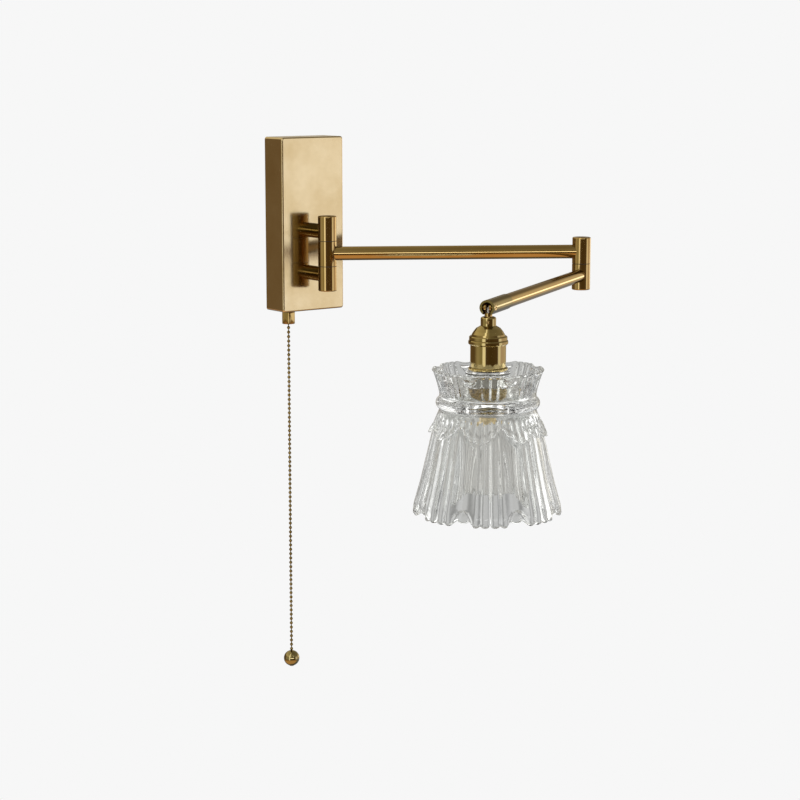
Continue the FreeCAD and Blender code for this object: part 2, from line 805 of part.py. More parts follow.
def make_gasket(top):
    low = point(0, 0, -top - gasket_sheet)
    return pipe(shade_ring_radius, core_radius + seat_gap, low, point(0, 0, -top))


def make_shade_ring():
    inner = core_radius + seat_gap
    foot = shade_ring_top + shade_ring_height
    outline = [(inner, shade_ring_top), (shade_ring_radius, shade_ring_top)]
    outline += [(shade_ring_radius, foot - shade_ring_taper), (shade_ring_taper_radius, foot), (inner, foot)]
    return turned(down_points(outline))


# Glass shade: closed rings of points, joined ring to ring into one solid
def glass_ring(radius, drop, flute=0.0, groove=0.0, arch=0.0, lobe=0.0, lobe_slope=0.0):
    """One ring of points: radius and drop, with the pleats' depth and the edge's waves."""
    spots = []
    for module in range(module_count):
        for count, share in enumerate(place_shares):
            spin = math.radians(shade_turn + (module + share) * full_turn / module_count)
            rise = arch * arch_shares[count]
            lift = lobe * (1 - abs(math.cos(math.pi * (share - lobe_centre_share))))
            r = radius - flute * flute_shares[count] - groove * groove_shares[count]
            r -= lobe_slope * lift
            height = rise + lift - drop
            spots.append(point(r * math.cos(spin), r * math.sin(spin), height))
    return spots


def glass_rings():
    rings = [glass_ring(collar_radius, collar_top, collar_flute, rib_groove / 2, -collar_dip),
             glass_ring(collar_mid_radius, collar_mid, collar_flute / 2, rib_groove / 2),
             glass_ring(collar_foot_radius, collar_foot)]
    for angle in bead_angles:
        spin = math.radians(angle)
        rings.append(glass_ring(bead_circle + bead_radius * math.cos(spin),
                                bead_drop - bead_radius * math.sin(spin)))
    frill_slope = (frill_tip_radius - frill_top_radius) / (frill_tip - frill_top)
    rings += [glass_ring(frill_top_radius, frill_top),
              glass_ring(frill_tip_radius, frill_tip, 0, rib_groove / 3, 0, frill_lobe, frill_slope),
              glass_ring(frill_tip_radius - frill_stand, frill_tip + bead_radius / 4,
                         skirt_flute / 4, rib_groove / 2, 0, frill_lobe, frill_slope),
              glass_ring(skirt_mid_radius, skirt_mid, skirt_flute * 2 / 3, rib_groove),
              glass_ring(skirt_low_radius, skirt_low, skirt_flute, rib_groove, hem_arch / 2),
              glass_ring(hem_radius, hem_drop - holder_round, skirt_flute, rib_groove, hem_arch),
              glass_ring(hem_radius - glass_wall * 3 / 4, hem_drop,
                         skirt_flute / 2, rib_groove / 3, hem_arch)]
    rings += [glass_ring(skirt_low_radius - glass_wall, skirt_low, skirt_flute / 4, 0, hem_arch / 2),
              glass_ring(skirt_mid_radius - glass_wall, skirt_mid),
              glass_ring(frill_tip_radius - frill_stand - glass_wall, frill_tip),
              glass_ring(frill_top_radius - glass_wall, frill_top),
              glass_ring(dome_shoulder_radius, dome_shoulder),
              glass_ring(well_radius + well_wall, floor_drop + glass_wall),
              glass_ring(well_radius, floor_drop),
              glass_ring(well_radius, glass_under),
              glass_ring(glass_hole_radius, glass_under),
              glass_ring(glass_hole_radius, glass_seat),
              glass_ring(glass_boss_radius, glass_seat),
              glass_ring(well_radius + well_wall, well_foot),
              glass_ring(well_radius + 2 * well_wall, floor_drop),
              glass_ring(floor_radius, floor_drop),
              glass_ring(collar_foot_radius - glass_wall, well_foot),
              glass_ring(collar_mid_radius - glass_wall, collar_mid),
              glass_ring(collar_radius - glass_wall * 3 / 4, collar_top + holder_round,
                         collar_flute / 2, 0, -collar_dip)]
    return rings


def is_flat(corners):
    normal = (corners[1] - corners[0]).cross(corners[2] - corners[0])
    normal.normalize()
    return abs(normal.dot(corners[3] - corners[0])) < glass_wall * 1e-6


def patch(a, b, c, d):
    """One facet between two rings, flat where it can be, else two triangles."""
    if is_flat((a, b, c, d)):
        return [Part.Face(Part.makePolygon([a, b, c, d, a]))]
    return [Part.Face(Part.makePolygon([a, b, c, a])), Part.Face(Part.makePolygon([a, c, d, a]))]


def make_glass():
    rings = glass_rings()
    faces = []
    for upper, lower in zip(rings, rings[1:] + rings[:1]):
        count = len(upper)
        for place in range(count):
            following = (place + 1) % count
            faces += patch(upper[place], lower[place], lower[following], upper[following])
    shell = Part.makeShell(faces)
    shell.sewShape()
    glass = Part.Solid(shell)
    if glass.Volume < 0:
        glass.reverse()
    return glass


# Pull switch, bushing, chain and ball
def make_switch_body():
    floor = plate_sheet - cover_top + switch_nut_height
    low = point(switch_side - switch_width / 2, -switch_out - switch_depth / 2 + seat_gap, floor)
    high = point(switch_side + switch_width / 2, -switch_out + switch_depth / 2, floor + switch_height)
    body = block(low, high)
    bore_top = -pull_rod_top + overrun + pull_rod_radius
    return body.cut(rod(switch_bore, switch_point(-cover_top), switch_point(bore_top)))


def switch_point(height):
    return point(switch_side, -switch_out, height)


def make_switch_neck():
    top = plate_sheet - cover_top + switch_nut_height
    low = -cover_top - bushing_drop / 2
    return pipe(switch_thread_radius, switch_bore, switch_point(low), switch_point(top))


def make_switch_nut():
    low = plate_sheet - cover_top
    nut = hex_bar(switch_nut_flats, switch_point(low), switch_point(low + switch_nut_height))
    bore = rod(switch_thread_radius + seat_gap, switch_point(low - overrun),
               switch_point(low + switch_nut_height + overrun))
    return nut.cut(bore)


def make_bushing():
    """The six-sided nut under the cover that the chain hangs out of."""
    foot = -cover_top - bushing_drop
    bar = hex_bar(bushing_flats, switch_point(foot), switch_point(-cover_top))
    corner = bushing_flats / math.sqrt(3)
    outline = [(0, 0), (corner - bushing_round, 0), (corner, bushing_round * 2), (corner, bushing_drop)]
    cone = turned(outline + [(0, bushing_drop)])
    cone.translate(switch_point(foot))
    bushing = bar.common(cone)
    neck_end = -cover_top - bushing_drop / 2
    bushing = bushing.cut(rod(switch_thread_radius + seat_gap, switch_point(neck_end), switch_point(0)))
    return bushing.cut(rod(bushing_mouth, switch_point(foot - overrun), switch_point(0)))


def make_pull_rod():
    return rod(pull_rod_radius, switch_point(-pull_rod_end), switch_point(-pull_rod_top))


def chain_ends():
    return -pull_rod_end, ball_radius - ball_top_flat / 4 - ball_centre_drop


def make_chain():
    """Hollow beads on short wires, turned as one run of bead profiles."""
    top, foot = chain_ends()
    count = int((top - foot) / chain_pitch)
    pitch = (top - foot) / count
    lift = math.sqrt(chain_bead_radius ** 2 - chain_wire_radius ** 2)
    edges = []
    here = point(chain_wire_radius, 0, top)
    edges.append(Part.LineSegment(point(0, 0, top), here).toShape())
    for bead in range(count):
        centre = top - (bead + 0.5) * pitch
        start = point(chain_wire_radius, 0, centre + lift)
        end = point(chain_wire_radius, 0, centre - lift)
        edges.append(Part.LineSegment(here, start).toShape())
        edges.append(Part.Arc(start, point(chain_bead_radius, 0, centre), end).toShape())
        here = end
    last = point(chain_wire_radius, 0, foot)
    edges.append(Part.LineSegment(here, last).toShape())
    edges.append(Part.LineSegment(last, point(0, 0, foot)).toShape())
    edges.append(Part.LineSegment(point(0, 0, foot), point(0, 0, top)).toShape())
    chain = Part.Face(Part.Wire(edges)).revolve(point(0, 0, 0), up, full_turn)
    chain.translate(switch_point(0))
    print("chain", round(top - foot, 1), "mm,", count, "beads at", round(pitch, 3), "mm")
    return chain


def make_ball():
    ball = Part.makeSphere(ball_radius)
    foot = rod(ball_foot_radius, point(0, 0, 0), point(0, 0, -ball_radius - ball_foot / 2))
    ball = ball.fuse(foot)
    top = ball_radius - ball_top_flat / 4
    cap = block(point(-ball_radius, -ball_radius, top), point(ball_radius, ball_radius, 2 * ball_radius))
    ball = ball.cut(cap)
    ball.translate(switch_point(-ball_centre_drop))
    return ball


# Terminal block, its screws and the earth screw on the bracket
def make_block():
    half = block_width / 2
    back = -bracket_sheet
    low = point(-half, back - block_depth, block_place - block_height / 2)
    high = point(half, back, block_place + block_height / 2)
    body = block(low, high)
    for x in block_screw_places():
        front = point(x, back - block_depth - overrun, block_place)
        seat = point(x, back - block_depth + block_screw_depth, block_place)
        body = body.cut(rod(block_screw_radius + seat_gap, front, seat))
        lead_y = back - block_depth / 2
        body = body.cut(rod(block_bore, point(x, lead_y, block_place - block_height),
                            point(x, lead_y, block_place + block_height)))
    return body


def block_screw_places():
    return [step * block_screw_pitch for step in (-1, 0, 1)]


def make_block_screws():
    screws = []
    back = -bracket_sheet - block_depth
    for x in block_screw_places():
        start = point(x, back + overrun, block_place)
        screw = rod(block_screw_radius, start, point(x, back + block_screw_depth, block_place))
        half = cover_screw_slot / 2
        slot = block(point(x - 2 * block_screw_radius, back, block_place - half),
                     point(x + 2 * block_screw_radius, back + overrun + half, block_place + half))
        lead = rod(lead_bore, point(x, -bracket_sheet - block_depth / 2, block_place - block_height),
                   point(x, -bracket_sheet - block_depth / 2, block_place + block_height))
        screws.append(screw.cut(slot).cut(lead))
    return screws


def make_earth_screw():
    spot = point(earth_screw_side, -bracket_sheet, earth_screw_height)
    head = rod(earth_screw_head, spot, spot.add(point(0, -earth_screw_radius, 0)))
    shank = rod(earth_screw_radius, spot, spot.add(point(0, bracket_sheet, 0)))
    screw = head.fuse(shank)
    half = cover_screw_slot / 2
    front = spot.add(point(0, -earth_screw_radius, 0))
    slot = block(front.sub(point(2 * earth_screw_head, half, half)),
                 front.add(point(2 * earth_screw_head, half, half)))
    return screw.cut(slot)


def make_plate_lead():
    """The cable from the terminal block through the lower stub to the post's pin."""
    lead_y = -bracket_sheet - block_depth / 2
    side = block_screw_places()[-1]
    low_stub = stub_heights()[1]
    route = [point(side, lead_y, block_place - block_screw_radius)]
    route += [point(side, lead_y, low_stub + stub_washer_radius + stub_thread_length)]
    route += [point(0, lead_y - stub_thread_radius, low_stub), point(0, post_y + pin_bore / 2, low_stub)]
    return bent_lead(route, lead_bend)


def make_switch_lead():
    """The cable from the terminal block down to the pull switch."""
    lead_y = -bracket_sheet - block_depth / 2
    side = block_screw_places()[0]
    top = block_place - block_screw_radius
    foot = plate_sheet - cover_top + switch_nut_height + switch_height
    run = top - block_height
    route = [point(side, lead_y, top), point(side, lead_y, run - lead_bend)]
    route += [point(switch_side, -switch_out, foot + block_height), point(switch_side, -switch_out, foot)]
    return bent_lead(route, 2 * lead_bend)


def make_root():
    save("wall_bracket", make_bracket())
    save("backplate_cover", make_cover())
    save_group("cover_screws", [make_cover_screw(side) for side in (1, -1)])
    upper, lower = stub_heights()
    save("stub_upper", make_stub(upper))
    save("stub_lower", make_stub(lower))
    save_group("stub_washers", [make_stub_washer(height) for height in (upper, lower)])
    save_group("stub_nuts", [make_stub_nut(height) for height in (upper, lower)])
    make_post()
    save("terminal_block", make_block())
    save_group("terminal_screws", make_block_screws())
    save("earth_screw", make_earth_screw())
    save("switch_body", make_switch_body())
    save("switch_neck", make_switch_neck())
    save("switch_nut", make_switch_nut())
    save("chain_bushing", make_bushing())
    save("plate_lead", make_plate_lead())
    save("switch_lead", make_switch_lead())


def make_lamp():
    save("tilt_tongue", make_tongue(), lamp_frame)
    save("neck_grub_screw", grub_screw_rod(0), lamp_frame)
    save("holder_cap", make_holder_cap(), lamp_frame)
    save("holder_ring", make_holder_ring(), lamp_frame)
    save("holder_shell", make_holder_shell(), lamp_frame)
    save("socket_core", make_core(), lamp_frame)
    save_group("socket_terminals", make_terminals(), lamp_frame)
    save("screw_shell", make_screw_shell(), lamp_frame)
    save("centre_contact", make_contact(), lamp_frame)
    save("gasket_upper", make_gasket(flange_foot), lamp_frame)
    save("gasket_lower", make_gasket(glass_under), lamp_frame)
    save("shade_ring", make_shade_ring(), lamp_frame)
    save("glass_shade", make_glass(), lamp_frame)
    route = [point(-tongue_eye_radius, 0, 0), point(0, 0, 0), point(0, 0, terminal_radius - core_top)]
    save("lamp_lead", bent_lead(route, 2 * lead_radius), lamp_frame)


def make_pull():
    save("pull_rod", make_pull_rod())
    save("pull_chain", make_chain())
    save("chain_ball", make_ball())


make_root()
make_arm_1()
make_arm_2()
make_lamp()
make_pull()
print("elbow", [round(value, 2) for value in elbow_place])
print("pivot", [round(value, 2) for value in pivot_place])
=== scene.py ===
import bmesh
import bpy
import json
import math
import numpy as np
from mathutils import Euler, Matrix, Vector


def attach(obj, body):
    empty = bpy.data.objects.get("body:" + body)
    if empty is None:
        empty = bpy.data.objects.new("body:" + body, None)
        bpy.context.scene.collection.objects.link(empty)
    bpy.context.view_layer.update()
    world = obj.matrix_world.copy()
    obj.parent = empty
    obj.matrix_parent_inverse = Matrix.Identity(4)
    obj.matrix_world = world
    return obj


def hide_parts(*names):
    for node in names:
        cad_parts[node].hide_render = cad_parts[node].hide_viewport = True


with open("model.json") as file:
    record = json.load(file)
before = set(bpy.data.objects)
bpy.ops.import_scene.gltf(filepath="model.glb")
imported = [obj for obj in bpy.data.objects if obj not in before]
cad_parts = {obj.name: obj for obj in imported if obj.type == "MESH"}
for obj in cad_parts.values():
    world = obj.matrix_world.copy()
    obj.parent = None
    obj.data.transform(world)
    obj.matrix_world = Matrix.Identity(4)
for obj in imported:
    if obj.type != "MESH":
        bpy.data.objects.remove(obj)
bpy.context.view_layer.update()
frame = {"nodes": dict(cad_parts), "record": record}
nodes = frame["nodes"]
joints = {joint["name"]: joint for joint in frame["record"]["behaviour"]["joints"]}
mm = 0.001


# Steps that many pieces share
def deselect():
    bpy.ops.object.select_all(action="DESELECT")


def select_only(piece):
    deselect()
    piece.select_set(True)
    bpy.context.view_layer.objects.active = piece


def named(piece, name):
    piece.name = name
    piece.data.name = name
    return piece


def settle(piece):
    """Puts the piece's place and turn into its mesh."""
    select_only(piece)
    bpy.ops.object.transform_apply(location=True, rotation=True, scale=True)
    return piece


def apply_modifiers(piece):
    select_only(piece)
    for modifier in list(piece.modifiers):
        bpy.ops.object.modifier_apply(modifier=modifier.name)
    return piece


def smooth(piece, angle):
    select_only(piece)
    bpy.ops.object.shade_smooth_by_angle(angle=math.radians(angle))
    return piece


# Camera
camera_place = (-1.10659, -1.65297, 0.15909)
camera_turn = (90 - 9.66, 0.0, -36.77)
lens_mm = 90.0
sensor_mm = 36.0


def make_camera():
    data = bpy.data.cameras.new("camera")
    data.lens = lens_mm
    data.sensor_width = sensor_mm
    camera = bpy.data.objects.new("camera", data)
    camera.location = camera_place
    camera.rotation_euler = Euler([math.radians(turn) for turn in camera_turn])
    bpy.context.scene.collection.objects.link(camera)
    bpy.context.scene.camera = camera
    bpy.context.scene.view_settings.view_transform = "Standard"


make_camera()

# Pull chain: where it hangs, its beads and its links
chain_side = -0.0202
chain_out = -0.015
chain_top = -0.091
chain_foot = -0.4335
chain_heights = (chain_top, -0.16, -0.23, -0.30, -0.37, chain_foot)
chain_length = 0.3425
bead_count = 76
bead_pitch = chain_length / bead_count
bead_radius = 1.6 * mm
bead_mouth_height = 0.93 * bead_radius
bead_lip = 0.12 * bead_radius
link_radius = 0.55 * mm
link_length = bead_pitch - 1.6 * bead_radius


def chain_route():
    """The chain's hanging line, read from its own smooth curve."""
    curve = bpy.data.curves.new("chain_route", "CURVE")
    curve.dimensions = "3D"
    spline = curve.splines.new("NURBS")
    spline.points.add(len(chain_heights) - 1)
    for spot, height in zip(spline.points, chain_heights):
        spot.co = (chain_side, chain_out, height, 1.0)
    spline.order_u = 3
    spline.use_endpoint_u = True
    route = bpy.data.objects.new("chain_route", curve)
    bpy.context.scene.collection.objects.link(route)
    line = bpy.data.meshes.new_from_object(route)
    points = [Vector(vertex.co) for vertex in line.vertices]
    bpy.data.objects.remove(route)
    return points


def place_along(points, share):
    """The point at a share of the line's length."""
    lengths = [(end - start).length for start, end in zip(points, points[1:])]
    left = share * sum(lengths)
    for start, end, length in zip(points, points[1:], lengths):
        if left <= length:
            return start.lerp(end, left / length)
        left -= length
    return points[-1]


def make_bead():
    """A hollow bead with a turned-in mouth at both ends, and the short straight link to the next one."""
    deselect()
    bpy.ops.mesh.primitive_uv_sphere_add(segments=14, ring_count=10, radius=bead_radius)
    bead = bpy.context.object
    bpy.ops.object.mode_set(mode="EDIT")
    for side in (1, -1):
        bpy.ops.mesh.select_all(action="SELECT")
        bpy.ops.mesh.bisect(plane_co=(0, 0, side * bead_mouth_height), plane_no=(0, 0, side),
                            use_fill=True, clear_outer=True)
        bpy.ops.mesh.inset(thickness=bead_lip)
        bpy.ops.transform.translate(value=(0, 0, -side * bead_lip))
    bpy.ops.object.mode_set(mode="OBJECT")
    bpy.ops.mesh.primitive_cylinder_add(vertices=8, radius=link_radius, depth=link_length,
                                        location=(0, 0, bead_pitch / 2), end_fill_type="NOTHING")
    link = bpy.context.object
    bpy.context.view_layer.objects.active = bead
    bead.select_set(True)
    link.select_set(True)
    bpy.ops.object.join()
    return settle(bead)


def make_chain(points):
    """One bead and link, copied along the line."""
    chain = named(make_bead(), "bead_chain")
    unit = np.array([vertex.co for vertex in chain.data.vertices])
    built = bmesh.new()
    for count in range(bead_count):
        centre = place_along(points, (count + 0.5) / bead_count)
        copy = chain.data.copy()
        copy.vertices.foreach_set("co", (unit + np.array(centre)).ravel())
        built.from_mesh(copy)
        bpy.data.meshes.remove(copy)
    built.to_mesh(chain.data)
    built.free()
    return smooth(chain, angle=60)


# Ball on the chain's end
ball_centre = -0.441
ball_radius = 7.9 * mm
ball_flat_radius = 2.6 * mm
ball_mouth_rim = 0.35 * mm
ball_mouth_slope = 0.55 * mm
ball_mouth_depth = 0.9 * mm
ball_foot_step = 0.2 * mm
ball_foot_height = 0.45 * mm
ball_foot_rim = 0.5 * mm
ball_foot_dish = 0.25 * mm


def cut_flat(side):
    """Cuts a flat on the ball, above or below, and leaves its face selected."""
    height = ball_centre + side * math.sqrt(ball_radius ** 2 - ball_flat_radius ** 2)
    bpy.ops.mesh.select_all(action="SELECT")
    bpy.ops.mesh.bisect(plane_co=(0, 0, height), plane_no=(0, 0, side), use_fill=True, clear_outer=True)


def make_ball():
    """A turned ball with a sunk mouth for the chain above, and a small dished foot below."""
    deselect()
    bpy.ops.mesh.primitive_uv_sphere_add(segments=64, ring_count=48, radius=ball_radius,
                                         location=(chain_side, chain_out, ball_centre))
    ball = settle(bpy.context.object)
    bpy.ops.object.mode_set(mode="EDIT")
    cut_flat(1)
    bpy.ops.mesh.inset(thickness=ball_mouth_rim)
    bpy.ops.mesh.inset(thickness=ball_mouth_slope)
    bpy.ops.transform.translate(value=(0, 0, -ball_mouth_depth))
    cut_flat(-1)
    bpy.ops.mesh.inset(thickness=ball_foot_step)
    bpy.ops.mesh.extrude_region_move(TRANSFORM_OT_translate={"value": (0, 0, -ball_foot_height)})
    bpy.ops.mesh.inset(thickness=ball_foot_rim)
    bpy.ops.transform.translate(value=(0, 0, ball_foot_dish))
    bpy.ops.object.mode_set(mode="OBJECT")
    return named(smooth(ball, angle=45), "pull_ball")


# Bushing that the chain hangs out of
bushing_sides = 6
bushing_flats = 12.2 * mm
bushing_corner = bushing_flats / math.sqrt(3)
bushing_blank = 1.02 * bushing_corner
bushing_top = -0.085
bushing_foot = -0.0982
bushing_depth = bushing_top - bushing_foot
bushing_edge = 1.1 * mm
bushing_edge_rise = 0.74 * mm
bushing_land_drop = 0.02 * mm
bushing_mouth = 3.6 * mm
bushing_hole_share = 0.6
bushing_bevel = 0.18 * mm
bushing_rim_from = 0.95 * bushing_corner
facing_down = -0.9
hair = 0.005 * mm


def turn_down_foot(bushing):
    """Slopes the foot's outer edge upwards, round a flat land."""
    bpy.ops.object.mode_set(mode="EDIT")
    bpy.ops.mesh.select_mode(type="FACE")
    bpy.ops.mesh.select_all(action="DESELECT")
    bpy.ops.object.mode_set(mode="OBJECT")
    for face in bushing.data.polygons:
        face.select = face.normal.z < facing_down
    bpy.ops.object.mode_set(mode="EDIT")
    bpy.ops.mesh.inset(thickness=bushing_edge)
    bpy.ops.transform.translate(value=(0, 0, -bushing_land_drop))
    bpy.ops.object.mode_set(mode="OBJECT")
    for vertex in bushing.data.vertices:
        away = math.hypot(vertex.co.x - chain_side, vertex.co.y - chain_out)
        if vertex.co.z < bushing_foot + hair and away > bushing_rim_from:
            vertex.co.z = bushing_foot + bushing_edge_rise


def cut_flats():
    """Cuts the round blank to its six sides."""
    bpy.ops.object.mode_set(mode="EDIT")
    for side in range(bushing_sides):
        turn = 2 * math.pi * (side + 0.5) / bushing_sides
        out = Vector((math.cos(turn), math.sin(turn), 0))
        spot = Vector((chain_side, chain_out, 0)) + out * bushing_flats / 2
        bpy.ops.mesh.select_all(action="SELECT")
        bpy.ops.mesh.bisect(plane_co=spot, plane_no=out, use_fill=True, clear_outer=True)
    bpy.ops.object.mode_set(mode="OBJECT")


def make_bushing():
    """A six-sided nut, its corners turned down at the foot, with a hole for the chain and soft edges."""
    deselect()
    middle = (bushing_top + bushing_foot) / 2
    bpy.ops.mesh.primitive_cylinder_add(vertices=96, radius=bushing_blank, depth=bushing_depth,
                                        location=(chain_side, chain_out, middle))
    bushing = settle(bpy.context.object)
    turn_down_foot(bushing)
    cut_flats()
    hole_middle = bushing_foot + (bushing_hole_share - 0.5) * bushing_depth
    bpy.ops.mesh.primitive_cylinder_add(vertices=48, radius=bushing_mouth, depth=bushing_depth,
                                        location=(chain_side, chain_out, hole_middle))
    drill = bpy.context.object
    cut = bushing.modifiers.new("mouth", "BOOLEAN")
    cut.operation = "DIFFERENCE"
    cut.object = drill
    cut.solver = "EXACT"
    edge = bushing.modifiers.new("edge", "BEVEL")
    edge.width = bushing_bevel
    edge.segments = 2
    edge.limit_method = "ANGLE"
    edge.angle_limit = math.radians(35)
    apply_modifiers(bushing)
    bpy.data.objects.remove(drill)
    return named(smooth(bushing, angle=30), "chain_nut")


route = chain_route()
chain = make_chain(route)
ball = make_ball()
for piece, old in ((chain, "pull_chain"), (ball, "chain_ball")):
    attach(piece, "pull")
    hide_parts(old)
bushing = make_bushing()
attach(bushing, "root")
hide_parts("chain_bushing")

# Round walls of the lamp: rows of (radius from its axis, drop below the tilt pivot) in mm
axis_x, axis_y, pivot_z = joints["lamp_tilt"]["pos_m"]


def ease(low, high, value):
    share = np.clip((value - low) / (high - low), 0, 1)
    return share * share * (3 - 2 * share)


def bend_grid(rows, spokes, start, name, angle):
    """A grid bent into a closed wall: spokes round the axis, and rows whose last one meets the first."""
    deselect()
    bpy.ops.mesh.primitive_grid_add(x_subdivisions=spokes, y_subdivisions=len(rows), size=1.0)
    wall = bpy.context.object
    turns = math.radians(start) + np.arange(spokes + 1) * 2 * np.pi / spokes
    places = np.zeros((len(rows) + 1, spokes + 1, 3))
    for count in range(len(rows) + 1):
        radius, drop = [np.broadcast_to(values, spokes) * mm for values in rows[count % len(rows)]]
        radius = np.append(radius, radius[0])
        places[count, :, 0] = axis_x + radius * np.cos(turns)
        places[count, :, 1] = axis_y + radius * np.sin(turns)
        places[count, :, 2] = pivot_z - np.append(drop, drop[0])
    wall.data.vertices.foreach_set("co", places.ravel())
    wall.data.update()
    bpy.ops.object.mode_set(mode="EDIT")
    bpy.ops.mesh.select_all(action="SELECT")
    bpy.ops.mesh.remove_doubles(threshold=0.0001 * mm)
    bpy.ops.mesh.normals_make_consistent(inside=False)
    bpy.ops.object.mode_set(mode="OBJECT")
    return named(smooth(wall, angle), name)


# Pressed glass shade, seen from above. A module is an eighth of a turn: a wide flute, then narrow round ribs
module_count = 8
module_spokes = 48
shade_spokes = module_count * module_spokes
flute_turn = 165.75
shoulder_share = 0.24
rib_share = (1 - 2 * shoulder_share) / 3
petal_centre_share = 0.26
petal_tongues = 6
tongue_power = 2.6
scoop_share = 0.19
notch_share = 0.1
notch_tip = 0.48

in_module = (np.arange(shade_spokes) % module_spokes) / module_spokes
flute_away = np.minimum(in_module, 1 - in_module)


def dome(off, power=2):
    """A round top: 1 where off is 0, down to 0 where it is 1 and more."""
    return np.sqrt(np.maximum(1 - off ** power, 0.0))


def flute_form():
    """1 in the middle of a wide flute, 0 at its two sharp shoulders."""
    away = np.minimum(flute_away / shoulder_share, 1)
    return np.where(flute_away < shoulder_share, np.cos(np.pi / 2 * away), 0.0)


def groove_form():
    """1 in the narrow grooves between the round ribs, 0 on the ribs."""
    step = (in_module - shoulder_share) / rib_share
    off = np.abs(step - np.round(step)) * 2
    inside = (in_module > shoulder_share) & (in_module < 1 - shoulder_share)
    return np.where(inside, 1 - dome(off), 0.0)


def notch_form():
    """How far the hem is drawn up: 0 at the ribs, and two notches in each flute with a small tip between."""
    return ease(shoulder_share, notch_share, flute_away) - notch_tip * dome(flute_away / notch_share)


def tongue_form():
    """The narrow round tongues that each petal is made of: 0 on a tongue, 1 between two."""
    step = (in_module - petal_centre_share) * petal_tongues
    off = np.abs(step - np.round(step)) * 2
    return 1 - dome(off, tongue_power)


flute = flute_form()
groove = groove_form()
tongue = tongue_form()
petal = 1 - np.abs(np.cos(np.pi * (in_module - petal_centre_share)))
scoop = dome(flute_away / scoop_share)


def relief(flute_depth, groove_depth):
    """How deep the glass lies under the tops of its ribs."""
    return flute_depth * flute + groove_depth * groove


# Pressed glass shade, from the hole outwards and down: lengths in mm, turns in degrees
dish_outline = ((14.5, 55.1), (14.9, 54.7), (17.2, 54.7), (18.3, 55.1), (19.1, 55.9), (19.6, 57.2),
                (19.9, 60.0), (20.3, 66.0), (20.7, 71.0), (21.3, 75.2), (22.4, 77.9), (24.6, 79.2),
                (28.4, 79.7), (32.0, 79.5), (34.6, 78.4), (36.2, 76.4), (36.9, 74.0))
dish_side_radius = 37.3
dish_side_drop = 71.3
collar_radius = 48.5
collar_drop = 52.2
collar_round = 1.9
collar_rim_turn = (-150, -10)
collar_wall = 4.0
collar_shoulder = 3.0
collar_inside_curve = 0.85
collar_outside_curve = 1.35
collar_foot_radius = 41.9
collar_foot_drop = 75.4
collar_fade_start = 0.78
collar_scoop_depth = 1.9
collar_scoop_drop = 53.0
collar_scoop_height = 9.0
collar_scoop_edge = 0.4
collar_scoop_full = 0.12
bead_ring_radius = 39.8
bead_ring_drop = 82.2
bead_ring_round = 5.3
bead_ring_turn = (-62, 66)
frill_top_radius = 42.3
frill_top_drop = 89.0
frill_tip_radius = 51.3
frill_tip_drop = 110.6
frill_border = 1.1
frill_round = 1.1
frill_lip_turns = (25, 60, 90, 120)
frill_wall = 2.7
frill_tuck = 0.2
petal_height = 13.5
petal_curve = 0.4
tongue_height = 4.4
tongue_depth = 3.6
tongue_start = 0.12
tongue_full = 0.42
frill_border_start = 0.64
frill_border_full = 0.85
skirt_outline = ((43.9, 95.0), (48.8, 110.6), (58.2, 151.0), (63.9, 171.5), (64.9, 179.7))
skirt_gap = 0.6
skirt_rib_root = 0.08
skirt_rib_root_share = 0.35
skirt_deepens_from = 96.0
skirt_deepens_to = 150.0
skirt_scoop_depth = 1.3
skirt_scoop_drop = 179.0
skirt_scoop_height = 12.0
skirt_scoop_edge = 0.5
hem_radius, hem_drop = skirt_outline[-1]
hem_shoulder = 1.6
hem_round = 1.8
hem_round_height = 1.7
hem_turn = (30, 150)
notch_height = 4.4
inner_hem_radius = 60.9
inner_foot_radius = 58.5
inner_foot_drop = 168.0
inner_outline = ((57.2, 164.0), (55.6, 157.6), (53.8, 151.0), (51.4, 141.0), (49.0, 131.0), (46.4, 120.0),
                 (44.2, 110.6), (42.1, 103.0), (40.3, 96.0), (39.4, 91.0), (38.2, 87.8), (36.0, 85.8),
                 (32.6, 84.6), (28.4, 84.2), (24.6, 83.9), (21.6, 82.8), (19.4, 80.4), (18.1, 77.0),
                 (17.6, 72.0), (17.5, 68.9), (17.1, 68.5), (14.9, 68.5), (14.5, 68.1))

# How many rows each stretch of the glass has
collar_inside_rows = 12
collar_rim_rows = 8
collar_outside_rows = 34
bead_ring_rows = 16
frill_outside_rows = 24
skirt_outside_rows = 44
hem_rows = 7
hem_inside_rows = 10

# What changes round the glass: its edges, and the depth of its ribs
collar_edge = collar_drop + relief(flute_depth=1.5, groove_depth=0.9)
collar_edge_radius = collar_radius - relief(flute_depth=1.7, groove_depth=0.7)
collar_ribs = relief(flute_depth=0.6, groove_depth=1.7)
skirt_ribs = relief(flute_depth=1.2, groove_depth=1.1)
skirt_ribs_gain = relief(flute_depth=2.0, groove_depth=1.0)
frill_edge = frill_tip_drop - petal_height * petal - tongue_height * tongue * (1 - petal) ** petal_curve
hem_edge = hem_drop - notch_height * notch_form() - relief(flute_depth=0.0, groove_depth=2.4)
hem_edge_radius = hem_radius - skirt_scoop_depth * (scoop > 0) - relief(flute_depth=3.2, groove_depth=2.0)


def round_edge(radius, drop, size, angles, height=None):
    """Rows round a point, where 0 degrees is outwards and 90 is straight down."""
    down = height or size
    spins = np.radians(angles)
    return [(radius + size * math.cos(spin), drop + down * math.sin(spin)) for spin in spins]


